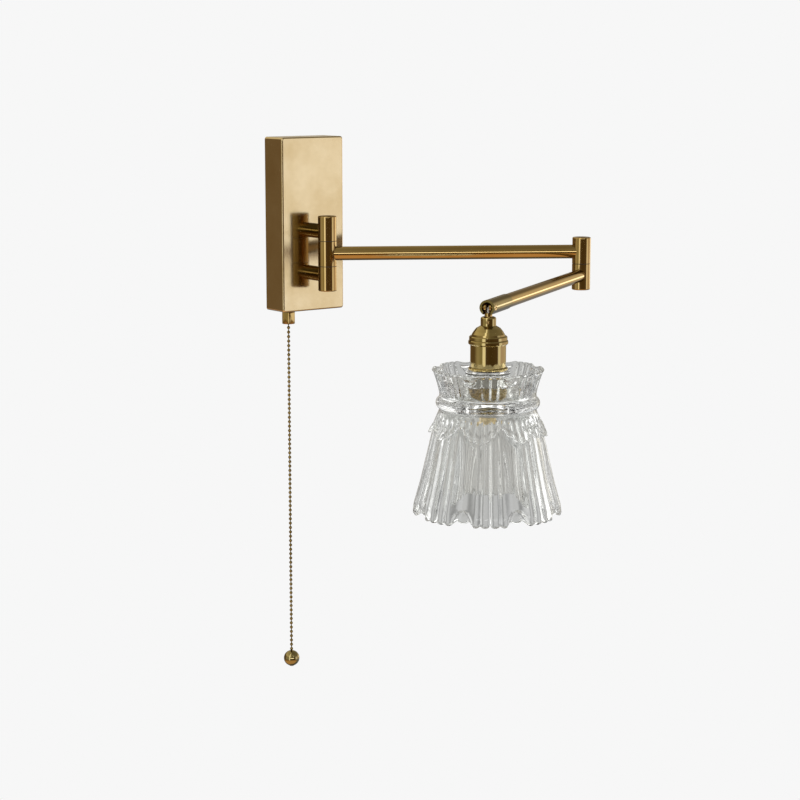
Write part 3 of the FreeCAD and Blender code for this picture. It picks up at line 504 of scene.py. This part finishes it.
def collar_rows():
    """Up the smooth inside, round the waved rim, and down the fluted outside to its foot."""
    rows = []
    widening = collar_edge_radius - collar_wall - dish_side_radius
    for step in np.linspace(0.0, 1.0, collar_inside_rows):
        drop = dish_side_drop + (collar_edge + collar_round - dish_side_drop) * step
        rows.append((dish_side_radius + widening * step ** collar_inside_curve, drop))
    rows += round_edge(collar_edge_radius - collar_round, collar_edge + collar_round, collar_round,
                       np.linspace(*collar_rim_turn, collar_rim_rows))
    for step in np.linspace(0.0, 1.0, collar_outside_rows):
        start = collar_edge + collar_shoulder
        drop = start + (collar_foot_drop - start) * step
        height = np.maximum(collar_foot_drop - drop, 0) / (collar_foot_drop - collar_drop)
        base = collar_foot_radius + (collar_radius - collar_foot_radius) * height ** collar_outside_curve
        fade = 1 - ease(collar_fade_start, 1.0, step)
        over_scoop_foot = collar_scoop_drop + collar_scoop_height * scoop - drop
        in_scoop = ease(-collar_scoop_edge, collar_scoop_edge, over_scoop_foot) * (scoop > 0)
        cut = collar_scoop_depth * in_scoop * ease(0.0, collar_scoop_full, step)
        rows.append((base - collar_ribs * fade - cut, drop))
    return rows


def frill_rows():
    """Eight petals of narrow tongues with a raised border, down to a round lip and back under it."""
    slope = (frill_tip_radius - frill_top_radius) / (frill_tip_drop - frill_top_drop)
    rows = []
    for step in np.linspace(0.0, 1.0, frill_outside_rows):
        drop = frill_top_drop + (frill_edge - frill_round - frill_top_drop) * step
        depth = tongue_depth * tongue * ease(tongue_start, tongue_full, step)
        border = frill_border * ease(frill_border_start, frill_border_full, step)
        rows.append((frill_top_radius + slope * (drop - frill_top_drop) - depth + border, drop))
    lip = frill_top_radius + slope * (frill_edge - frill_top_drop) + frill_border - tongue_depth * tongue
    rows += round_edge(lip - frill_round, frill_edge - frill_round, frill_round, frill_lip_turns)
    rows.append((lip - frill_wall, frill_edge - frill_tuck))
    return rows


def skirt_rows():
    """Flutes and ribs that deepen downwards, a scoop pressed into the foot of each flute, and the hem."""
    radii, drops = zip(*skirt_outline)
    rows = []
    for step in np.linspace(0.0, 1.0, skirt_outside_rows):
        start = frill_edge + skirt_gap
        drop = start + (hem_edge - hem_shoulder - start) * step
        depth = skirt_ribs + skirt_ribs_gain * ease(skirt_deepens_from, skirt_deepens_to, drop)
        shown = skirt_rib_root_share + (1 - skirt_rib_root_share) * ease(0.0, skirt_rib_root, step)
        under_scoop_top = drop - (skirt_scoop_drop - skirt_scoop_height * scoop)
        in_scoop = ease(-skirt_scoop_edge, skirt_scoop_edge, under_scoop_top) * (scoop > 0)
        rows.append((np.interp(drop, drops, radii) - depth * shown - skirt_scoop_depth * in_scoop, drop))
    rows += round_edge(hem_edge_radius - hem_round, hem_edge - hem_round_height, hem_round,
                       np.linspace(*hem_turn, hem_rows), hem_round_height)
    return rows


def inner_rows():
    """Up the smooth inside, where the flutes fade out a little above the hem, to the hole."""
    inner = inner_hem_radius - relief(flute_depth=2.2, groove_depth=0.0)
    start = hem_edge - hem_round
    rows = [(inner + (inner_foot_radius - inner) * step, start + (inner_foot_drop - start) * step)
            for step in np.linspace(0.0, 1.0, hem_inside_rows)]
    return rows + list(inner_outline)


def shade_rows():
    bead_ring = round_edge(bead_ring_radius, bead_ring_drop, bead_ring_round,
                           np.linspace(*bead_ring_turn, bead_ring_rows))
    return [*dish_outline, *collar_rows(), *bead_ring, *frill_rows(), *skirt_rows(), *inner_rows()]


shade = bend_grid(shade_rows(), shade_spokes, flute_turn, "pressed_shade", angle=50)
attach(shade, "lamp")
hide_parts("glass_shade")

# Threaded screw shell of the socket, in mm
thread_turns = 8
thread_spokes = 64
thread_steps = 120
thread_radius = 7.32
thread_depth = 0.24
thread_wall = 0.35
thread_fade = 0.08
thread_top = 72.3
thread_foot = 103.9


def thread_rows():
    """A thin wall rolled into a round thread that fades out at both ends: down outside and up inside."""
    spin = np.arange(thread_spokes) * 2 * np.pi / thread_spokes
    rows = []
    for wall, way in ((0.0, 1), (thread_wall, -1)):
        for step in np.linspace(0, 1, thread_steps)[::way]:
            wave = np.cos(2 * np.pi * step * thread_turns + spin)
            fade = ease(0.0, thread_fade, step) * (1 - ease(1 - thread_fade, 1.0, step))
            drop = thread_top + (thread_foot - thread_top) * step
            rows.append((thread_radius - wall + thread_depth * wave * fade, drop))
    return rows


thread_shell = bend_grid(thread_rows(), thread_spokes, 0.0, "thread_shell", angle=60)
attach(thread_shell, "lamp")
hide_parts("screw_shell")


# Nodes that materials and studio share
def add_node(tree, kind, **values):
    """A node with its settings, where a value whose name isn't a setting goes to the input of that name."""
    node = tree.nodes.new(kind)
    for key, value in values.items():
        if hasattr(node, key):
            setattr(node, key, value)
        else:
            node.inputs[key.replace("_", " ")].default_value = value
    return node


def feed(tree, socket, value):
    """Gives an input another node's output, or a plain number or colour."""
    if isinstance(value, bpy.types.NodeSocket):
        tree.links.new(value, socket)
    else:
        socket.default_value = value


def work_out(tree, operation, *values):
    """The result of a Math node."""
    node = add_node(tree, "ShaderNodeMath", operation=operation)
    for socket, value in zip(node.inputs, values):
        feed(tree, socket, value)
    return node.outputs["Value"]


def work_out_vector(tree, operation, *values, result="Vector"):
    """The result of a Vector Math node, for colours too."""
    node = add_node(tree, "ShaderNodeVectorMath", operation=operation)
    for socket, value in zip(node.inputs, values):
        feed(tree, socket, value)
    return node.outputs[result]


def remap(tree, value, from_low, from_high, low=0.0, high=1.0):
    """Stretches the way between two values to another, and holds what lies outside at its ends."""
    node = add_node(tree, "ShaderNodeMapRange")
    for name, number in (("From Min", from_low), ("From Max", from_high), ("To Min", low), ("To Max", high)):
        node.inputs[name].default_value = number
    feed(tree, node.inputs["Value"], value)
    return node.outputs["Result"]


def blend(tree, share, first, second):
    """The first colour at share 0, the second at share 1."""
    node = add_node(tree, "ShaderNodeMix", data_type="RGBA")
    ends = [socket for socket in node.inputs if socket.type == "RGBA"]
    feed(tree, node.inputs["Factor"], share)
    feed(tree, ends[0], first)
    feed(tree, ends[1], second)
    return [socket for socket in node.outputs if socket.type == "RGBA"][0]


def blend_shaders(tree, share, first, second):
    """The first shader at share 0, the second at share 1."""
    node = add_node(tree, "ShaderNodeMixShader")
    for socket, value in zip(node.inputs, (share, first, second)):
        feed(tree, socket, value)
    return node.outputs["Shader"]


# Materials
def start_material(name):
    material = bpy.data.materials.new(name)
    material.use_nodes = True
    tree = material.node_tree
    return material, tree, tree.nodes["Principled BSDF"]


def surface_place(tree, turn=0.0, stretch=(1.0, 1.0, 1.0)):
    """Object coordinates, turned about Z and then stretched."""
    place = add_node(tree, "ShaderNodeTexCoord").outputs["Object"]
    turned = add_node(tree, "ShaderNodeMapping", Rotation=(0, 0, math.radians(turn)))
    feed(tree, turned.inputs["Vector"], place)
    stretched = add_node(tree, "ShaderNodeMapping", Scale=stretch)
    feed(tree, stretched.inputs["Vector"], turned.outputs["Vector"])
    return stretched.outputs["Vector"]


def noise(tree, place, scale, detail):
    node = add_node(tree, "ShaderNodeTexNoise", Scale=scale, Detail=detail, Roughness=0.55)
    feed(tree, node.inputs["Vector"], place)
    return node.outputs["Fac"]


def spread(tree, value, low=0.0, high=1.0):
    """Stretches a noise, which keeps near its middle, to the whole way from low to high."""
    return remap(tree, value, 0.3, 0.7, low, high)


def raise_surface(tree, shader, height, strength, distance=0.0002):
    bump = add_node(tree, "ShaderNodeBump", Strength=strength, Distance=distance)
    feed(tree, bump.inputs["Height"], height)
    feed(tree, shader.inputs["Normal"], bump.outputs["Normal"])


# How the lacquer's clouds change the roughness of brass
lacquer_rough = (-0.02, 0.03)


def brass(name, tones, rough, turn=0.0, brush=(1.0, 1.0, 1.0)):
    """Lacquered brass: slow changes of tone, fine lines along the brushing, and a roughness to match."""
    material, tree, shader = start_material(name)
    cloud = noise(tree, surface_place(tree, turn), scale=26.0, detail=4.0)
    brushed = surface_place(tree, turn, brush)
    grain = noise(tree, brushed, scale=3200.0, detail=2.0)
    lines = noise(tree, brushed, scale=240.0, detail=2.0)
    roughness = work_out(tree, "ADD", spread(tree, grain, *rough), spread(tree, cloud, *lacquer_rough))
    feed(tree, shader.inputs["Base Color"], blend(tree, spread(tree, cloud), *tones))
    feed(tree, shader.inputs["Metallic"], 1.0)
    feed(tree, shader.inputs["Roughness"], roughness)
    raise_surface(tree, shader, lines, strength=0.004)
    return material


def plain(name, tones, rough, grain=400.0, metal=0.0):
    """A moulded or plated surface with a slight change of tone and a fine grain."""
    material, tree, shader = start_material(name)
    place = surface_place(tree)
    cloud = noise(tree, place, scale=60.0, detail=3.0)
    fine = noise(tree, place, scale=grain, detail=2.0)
    feed(tree, shader.inputs["Base Color"], blend(tree, spread(tree, cloud), *tones))
    feed(tree, shader.inputs["Metallic"], metal)
    feed(tree, shader.inputs["Roughness"], spread(tree, fine, *rough))
    raise_surface(tree, shader, fine, strength=0.05)
    return material


# Glass tints, and the heights between which one passes into the other
thin_glass = (0.905, 0.912, 0.893, 1.0)
thick_glass = (0.868, 0.876, 0.856, 1.0)
thin_glass_top = pivot_z - 0.112
thick_glass_foot = pivot_z - 0.100


def clear_glass():
    """Pressed glass with slow waves in its surface and a faint grey tint, deeper in the thick upper part."""
    material, tree, shader = start_material("pressed_glass")
    place = surface_place(tree)
    height = add_node(tree, "ShaderNodeSeparateXYZ")
    feed(tree, height.inputs["Vector"], place)
    thick = remap(tree, height.outputs["Z"], thin_glass_top, thick_glass_foot)
    feed(tree, shader.inputs["Base Color"], blend(tree, thick, thin_glass, thick_glass))
    feed(tree, shader.inputs["Transmission Weight"], 1.0)
    feed(tree, shader.inputs["IOR"], 1.5)
    feed(tree, shader.inputs["Roughness"], 0.0)
    raise_surface(tree, shader, noise(tree, place, scale=140.0, detail=2.0), strength=0.12, distance=0.001)
    return material


# Tones of each finish, first and second
plate_tones = ((0.95, 0.77, 0.49, 1.0), (0.81, 0.61, 0.33, 1.0))
tube_tones = ((0.72, 0.51, 0.22, 1.0), (0.65, 0.44, 0.17, 1.0))
# Dark brass for the shade ring and the stubs: painted shade, darker than their brass, for the shade under
# the holder and between plate and post
painted_shade_brass_tones = ((0.46, 0.34, 0.11, 1.0), (0.30, 0.19, 0.06, 1.0))
sleeve_tones = ((0.52, 0.43, 0.21, 1.0), (0.42, 0.33, 0.15, 1.0))
holder_tones = ((0.64, 0.50, 0.23, 1.0), (0.57, 0.43, 0.17, 1.0))
ball_tones = ((0.58, 0.48, 0.23, 1.0), (0.47, 0.38, 0.18, 1.0))
chain_tones = ((0.46, 0.36, 0.14, 1.0), (0.30, 0.22, 0.07, 1.0))
contact_tones = (plate_tones[0], holder_tones[0])
steel_tones = ((0.62, 0.64, 0.66, 1.0), (0.52, 0.54, 0.57, 1.0))
nylon_tones = ((0.055, 0.045, 0.04, 1.0), (0.08, 0.07, 0.06, 1.0))
white_tones = ((0.82, 0.82, 0.79, 1.0), (0.77, 0.77, 0.74, 1.0))
black_tones = ((0.025, 0.025, 0.026, 1.0), (0.04, 0.04, 0.04, 1.0))
jacket_tones = ((0.72, 0.71, 0.67, 1.0), (0.64, 0.63, 0.59, 1.0))
porcelain_tones = ((0.86, 0.85, 0.81, 1.0), (0.80, 0.79, 0.74, 1.0))
seal_tones = ((0.80, 0.79, 0.75, 1.0), (0.74, 0.73, 0.69, 1.0))

# How rough polished brass is, and the ways that brass is brushed, as stretches of its grain
polished = (0.05, 0.08)
upright = (1.0, 1.0, 0.12)
along_arm = (0.05, 1.0, 1.0)
round_piece = (0.1, 0.1, 1.0)
round_shell = (0.2, 0.2, 1.0)

# The way each arm points from above, in degrees
arm_1_turn = 32.0
arm_2_turn = -31.74

finishes = {
    "brushed_brass": brass("plate_brass", plate_tones, rough=(0.11, 0.16), brush=upright),
    "satin_brass": brass("post_brass", tube_tones, polished, brush=upright),
    "arm_1": brass("arm_1_brass", tube_tones, polished, turn=arm_1_turn, brush=along_arm),
    "arm_2": brass("arm_2_brass", tube_tones, polished, turn=arm_2_turn, brush=along_arm),
    "sleeve": brass("sleeve_brass", sleeve_tones, rough=(0.07, 0.10), turn=arm_2_turn, brush=along_arm),
    "holder_brass": brass("holder_brass", holder_tones, polished, brush=round_piece),
    # The shade ring and the stubs get the dark brass, as painted shade
    "ring": brass("ring_brass_painted_shade", painted_shade_brass_tones, rough=(0.16, 0.24), brush=round_piece),
    "stub": brass("stub_brass_painted_shade", painted_shade_brass_tones, rough=(0.10, 0.14)),
    "screw_brass": brass("screw_brass", tube_tones, rough=(0.2, 0.3)),
    "chain_brass": brass("chain_brass", chain_tones, rough=(0.04, 0.07)),
    "ball": brass("ball_brass", ball_tones, polished),
    "contact_brass": brass("contact_brass", contact_tones, rough=(0.14, 0.22), brush=round_shell),
    "zinc_steel": plain("zinc_steel", steel_tones, rough=(0.26, 0.4), grain=500.0, metal=1.0),
    "nylon": plain("nylon", nylon_tones, rough=(0.4, 0.5)),
    "white_plastic": plain("white_plastic", white_tones, rough=(0.35, 0.45)),
    "black_plastic": plain("black_plastic", black_tones, rough=(0.4, 0.52)),
    "lead_jacket": plain("lead_jacket", jacket_tones, rough=(0.42, 0.55)),
    "porcelain": plain("porcelain", porcelain_tones, rough=(0.1, 0.18), grain=120.0),
    "seal": plain("clear_seal", seal_tones, rough=(0.35, 0.5)),
    "pressed_glass": clear_glass(),
}

# Nodes whose finish differs from the one of their slot
own_finish = {
    "arm_1_tube": "arm_1",
    "arm_2_tube": "arm_2",
    "tilt_sleeve": "sleeve",
    "tilt_tongue": "arm_2",
    # The stubs and the shade ring take the dark brass that paints their shade
    "stub_upper": "stub",
    "stub_lower": "stub",
    "shade_ring": "ring",
    "gasket_upper": "seal",
    "gasket_lower": "seal",
}


def give_finish(piece, material):
    if not piece.material_slots:
        piece.data.materials.append(material)
    for slot in piece.material_slots:
        slot.material = material


for part in frame["record"]["subparts"]:
    name = part["node"]
    give_finish(nodes[name], finishes[own_finish.get(name, part["material_slot"])])
give_finish(chain, finishes["chain_brass"])
give_finish(ball, finishes["ball"])
give_finish(bushing, finishes["satin_brass"])
give_finish(shade, finishes["pressed_glass"])
give_finish(thread_shell, finishes["contact_brass"])

# Floor: a wide pale sheet far under the lamp, which keeps the lamp's shadow near its middle
off_white = (0.93, 0.93, 0.93, 1.0)
floor_paint = (0.86, 0.86, 0.86, 1.0)
floor_height = -1.2
floor_radius = 60.0
shadow_radius = 0.8
shadow_end = 1.4


def make_floor():
    """Painted where the shadow falls, and further out as bright as the backdrop."""
    deselect()
    bpy.ops.mesh.primitive_circle_add(vertices=96, radius=floor_radius, fill_type="NGON",
                                      location=(0, 0, floor_height))
    floor = named(settle(bpy.context.object), "floor")
    material, tree, shader = start_material("floor_paint")
    tree.nodes.remove(shader)
    place = add_node(tree, "ShaderNodeTexCoord").outputs["Object"]
    away = work_out_vector(tree, "LENGTH", place, result="Value")
    far = remap(tree, away, shadow_radius, shadow_end)
    lit = add_node(tree, "ShaderNodeBsdfDiffuse", Color=floor_paint).outputs["BSDF"]
    bright = add_node(tree, "ShaderNodeEmission", Color=off_white).outputs["Emission"]
    feed(tree, tree.nodes["Material Output"].inputs["Surface"], blend_shaders(tree, far, lit, bright))
    give_finish(floor, material)
    floor.visible_glossy = False
    floor.visible_transmission = False


# Studio, where directions round the lamp are degrees from the camera's side, growing to the picture's right
to_camera = Vector((-0.6, -0.8, 0.0))
to_right = Vector((0.8, -0.6, 0.0))

# Mirrored in the metal: white walls to the right, dark ones to the left behind
walls = [(-180, (0.50, 0.46, 0.38)), (-150, (0.15, 0.10, 0.05)), (-104, (0.14, 0.10, 0.055)),
         (-72, (0.40, 0.37, 0.27)), (-45, (0.30, 0.28, 0.17)), (-12, (0.09, 0.06, 0.03)),
         (14, (0.075, 0.05, 0.02)), (60, (0.09, 0.06, 0.03)), (69, (0.88, 0.88, 0.88)),
         (80, (0.88, 0.88, 0.88)), (89, (0.55, 0.47, 0.45)), (122, (0.58, 0.50, 0.42)),
         (145, (0.62, 0.54, 0.38)), (156, (0.26, 0.22, 0.16)), (180, (0.30, 0.27, 0.22))]

# Mirrored above and below, from 0 straight down over 0.5 level to 1 straight up
ceiling = [(0.5, (0.16, 0.12, 0.07)), (0.64, (0.20, 0.16, 0.10)), (0.72, (0.44, 0.40, 0.28)),
           (1.0, (0.32, 0.29, 0.20))]
wood = [(0.0, (0.50, 0.30, 0.15)), (0.03, (0.60, 0.37, 0.18)), (0.20, (0.60, 0.37, 0.18)),
        (0.29, (0.34, 0.20, 0.09)), (0.36, (0.12, 0.08, 0.03)), (0.42, (0.12, 0.08, 0.04))]
slate = [(0.0, (0.10, 0.10, 0.10)), (0.30, (0.20, 0.21, 0.24)), (0.42, (0.30, 0.32, 0.36))]
ceiling_share = [(0.0, 0.0), (0.58, 0.0), (0.70, 1.0), (1.0, 1.0)]
ground_share = [(0.0, 1.0), (0.32, 1.0), (0.42, 0.0), (1.0, 0.0)]
slate_share = [(-150, 1.0), (-110, 0.0), (70, 0.0), (105, 1.0)]
ceiling_dimmer = [(0.0, 1.5), (0.40, 1.25), (0.60, 0.55), (1.0, 0.5)]

# Bright things mirrored in the metal: the light of each, its reach round the way and its reach upwards
rail = ((2.3, 2.35, 2.3), [(-20, 0.0), (-10, 1.0), (30, 1.0), (45, 0.0)],
        [(0.505, 0.0), (0.535, 1.0), (0.575, 1.0), (0.605, 0.0)])
pole = ((0.95, 1.0, 1.05), [(-39, 0.0), (-34, 1.0), (-22, 1.0), (-16, 0.0)],
        [(0.28, 0.0), (0.34, 1.0), (0.96, 1.0), (1.0, 0.4)])
pane = ((1.5, 1.45, 1.3), [(130, 0.0), (134, 1.0), (146, 1.0), (150, 0.0)],
        [(0.433, 0.0), (0.450, 1.0), (0.49, 1.0), (0.51, 0.0)])

# Seen through the glass: a grey level straight behind, brighter to the sides, above and below
through = [(-180, 0.71), (-174, 0.71), (-168, 0.38), (-162, 0.78), (-154, 0.90), (-148, 0.45), (-138, 1.7),
           (-114, 1.7), (-100, 0.5), (-60, 1.0), (-15, 0.6), (20, 0.6), (60, 1.1), (96, 0.6), (108, 2.2),
           (138, 2.2), (148, 0.5), (154, 1.1), (162, 0.80), (168, 0.38), (174, 0.71), (180, 0.71)]
through_height = [(0.0, 0.9), (0.20, 0.8), (0.29, 0.50), (0.35, 0.78), (0.46, 0.80), (0.53, 0.5),
                  (0.60, 0.80), (1.0, 0.9)]

room_light = (1.0, 0.99, 0.97, 1.0)
room_strength = 0.62
twice_mirrored_strength = 0.36


def ramp(tree, value, stops):
    """A smooth run of grey levels or colours; each stop is (place from 0 to 1, level or colour)."""
    node = add_node(tree, "ShaderNodeValToRGB")
    band = node.color_ramp
    band.interpolation = "EASE"
    while len(band.elements) < len(stops):
        band.elements.new(0.5)
    for element, (place, level) in zip(band.elements, stops):
        element.position = place
        colour = level if isinstance(level, tuple) else (level, level, level)
        element.color = (*colour, 1.0)
    feed(tree, node.inputs["Fac"], value)
    return node.outputs["Color"]


def ramp_around(tree, around, stops):
    """A ramp whose stops are in degrees."""
    return ramp(tree, around, [((degrees + 180) / 360, level) for degrees, level in stops])


def crossed(tree, around, height, stops_around, stops_up):
    """What two ramps give together, one round the way and one upwards."""
    first = ramp_around(tree, around, stops_around)
    return work_out_vector(tree, "MULTIPLY", first, ramp(tree, height, stops_up))


def mirrored_room(tree, around, height, aside):
    """What the metal shows, by direction."""
    dimmer = ramp(tree, remap(tree, aside, -1.0, 1.0), ceiling_dimmer)
    above = work_out_vector(tree, "MULTIPLY", ramp(tree, height, ceiling), dimmer)
    grey_side = ramp_around(tree, around, slate_share)
    below = blend(tree, grey_side, ramp(tree, height, wood), ramp(tree, height, slate))
    room = blend(tree, ramp(tree, height, ceiling_share), ramp_around(tree, around, walls), above)
    room = blend(tree, ramp(tree, height, ground_share), room, below)
    for light, reach_around, reach_up in (rail, pole, pane):
        share = crossed(tree, around, height, reach_around, reach_up)
        room = work_out_vector(tree, "MULTIPLY_ADD", share, light, room)
    return room


def make_world():
    """One look each for what metal mirrors, glass shows and the camera sees, and the room's own light."""
    world = bpy.data.worlds.new("studio")
    bpy.context.scene.world = world
    world.use_nodes = True
    world.cycles.sampling_method = "NONE"
    tree = world.node_tree
    tree.nodes.clear()
    look = add_node(tree, "ShaderNodeTexCoord").outputs["Generated"]
    ahead = work_out_vector(tree, "DOT_PRODUCT", look, to_camera, result="Value")
    aside = work_out_vector(tree, "DOT_PRODUCT", look, to_right, result="Value")
    around = remap(tree, work_out(tree, "ARCTAN2", aside, ahead), -math.pi, math.pi)
    split = add_node(tree, "ShaderNodeSeparateXYZ")
    feed(tree, split.inputs["Vector"], look)
    height = remap(tree, split.outputs["Z"], -1.0, 1.0)
    mirrored = mirrored_room(tree, around, height, aside)
    clear = crossed(tree, around, height, through, through_height)

    def shown(colour, strength):
        background = add_node(tree, "ShaderNodeBackground", Strength=strength)
        feed(tree, background.inputs["Color"], colour)
        return background.outputs["Background"]

    light = add_node(tree, "ShaderNodeLightPath").outputs
    twice = work_out(tree, "GREATER_THAN", light["Glossy Depth"], 1.5)
    result = shown(room_light, room_strength)
    for share, choice in ((light["Is Glossy Ray"], shown(mirrored, 1.0)),
                          (twice, shown(mirrored, twice_mirrored_strength)),
                          (light["Is Transmission Ray"], shown(clear, 1.0)),
                          (light["Is Camera Ray"], shown(off_white, 1.0))):
        result = blend_shaders(tree, share, result, choice)
    feed(tree, add_node(tree, "ShaderNodeOutputWorld").inputs["Surface"], result)


# Top box: a soft white light over the lamp, which metal and camera don't show
box_place = Vector((-0.22, -0.46, 1.9))
box_target = Vector((0.0, -0.2, -0.1))
box_side = 1.6


def make_top_box():
    data = bpy.data.lights.new("top_box", "AREA")
    data.shape = "SQUARE"
    data.size = box_side
    data.energy = math.pi * box_side ** 2
    light = bpy.data.objects.new("top_box", data)
    light.location = box_place
    light.rotation_euler = (box_target - box_place).to_track_quat("-Z", "Y").to_euler()
    light.visible_camera = False
    light.visible_glossy = False
    bpy.context.scene.collection.objects.link(light)


# Bounces: many through the glass, fewer between the mirroring pieces
glass_bounces = 48
mirror_bounces = 12

make_floor()
make_world()
make_top_box()
bpy.context.scene.cycles.max_bounces = glass_bounces
bpy.context.scene.cycles.transmission_bounces = glass_bounces
bpy.context.scene.cycles.glossy_bounces = mirror_bounces
